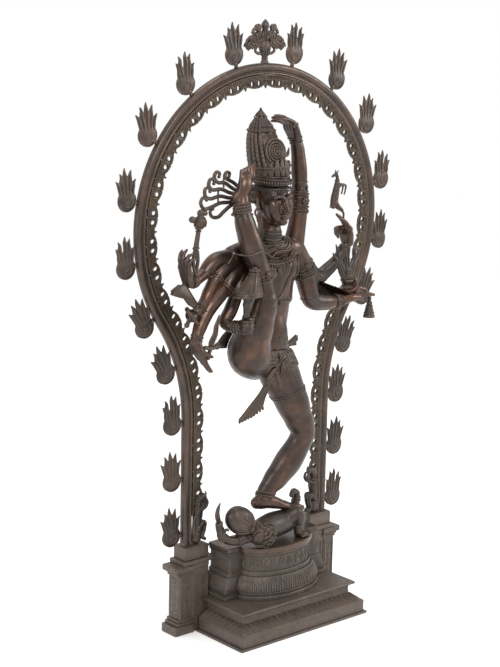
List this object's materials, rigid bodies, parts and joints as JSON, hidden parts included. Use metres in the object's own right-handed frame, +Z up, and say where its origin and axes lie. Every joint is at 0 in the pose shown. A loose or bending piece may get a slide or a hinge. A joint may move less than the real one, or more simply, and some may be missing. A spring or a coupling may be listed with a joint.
{
  "type": "nataraja statue",
  "caption": "Bronze dancing figure on one leg over a dwarf, inside a lift-off flame arch, on a stepped plinth with a drum and two side piers.",
  "frame": {"origin": "middle of the base's underside, on the floor", "axes": "+Z up, the figure faces -Y, +X to the viewer's right as one faces the statue"},
  "size_m": [0.8676, 0.228, 1.4693],
  "materials": {
    "dark_bronze": "dark brown patina, worn lighter on high edges",
    "worn_bronze": "smooth chocolate-brown patina with reddish worn areas",
    "dusty_bronze": "engraved, matt grey-brown with dust in the recesses",
    "frieze_bronze": "cast and pierced, ochre-brown patina"
  },
  "bodies": {
    "statue": {"arm_axe": "worn_bronze", "arm_bell": "worn_bronze", "arm_club": "worn_bronze", "arm_dagger": "worn_bronze", "arm_deer": "worn_bronze", "arm_drum": "worn_bronze", "arm_fire": "worn_bronze", "arm_raised": "worn_bronze", "axe": "dark_bronze", "club": "dark_bronze", "crown": "dark_bronze", "dagger": "dark_bronze", "deer": "dark_bronze", "drum_body": "dusty_bronze", "drum_top": "dark_bronze", "dwarf_body": "dark_bronze", "dwarf_head": "dark_bronze", "dwarf_shield": "dark_bronze", "fire_bowl": "dark_bronze", "foot_block_left": "dusty_bronze", "foot_block_right": "dusty_bronze", "hair_locks": "dark_bronze", "hand_bell": "dark_bronze", "hand_drum": "dark_bronze", "head": "worn_bronze", "pier_left": "dusty_bronze", "pier_right": "dusty_bronze", "plinth_lower": "dusty_bronze", "plinth_upper": "dusty_bronze", "raised_leg": "worn_bronze", "sash_tail": "dark_bronze", "shoulder_fan": "worn_bronze", "standing_leg": "worn_bronze", "torso": "worn_bronze", "waist_cloth": "dark_bronze"},
    "arch": {"arch_frieze": "frieze_bronze", "arch_rim": "dark_bronze", "finial": "dark_bronze", "flame_left_1": "dark_bronze", "flame_left_10": "dark_bronze", "flame_left_2": "dark_bronze", "flame_left_3": "dark_bronze", "flame_left_4": "dark_bronze", "flame_left_5": "dark_bronze", "flame_left_6": "dark_bronze", "flame_left_7": "dark_bronze", "flame_left_8": "dark_bronze", "flame_left_9": "dark_bronze", "flame_right_1": "dark_bronze", "flame_right_10": "dark_bronze", "flame_right_2": "dark_bronze", "flame_right_3": "dark_bronze", "flame_right_4": "dark_bronze", "flame_right_5": "dark_bronze", "flame_right_6": "dark_bronze", "flame_right_7": "dark_bronze", "flame_right_8": "dark_bronze", "flame_right_9": "dark_bronze", "yali_left": "dark_bronze", "yali_right": "dark_bronze"}
  },
  "joints": [
    {"name": "arch_lift", "type": "slide", "parent": "statue", "child": "arch", "axis": [0, 0, 1], "range_m": [0, 0.06]}
  ]
}
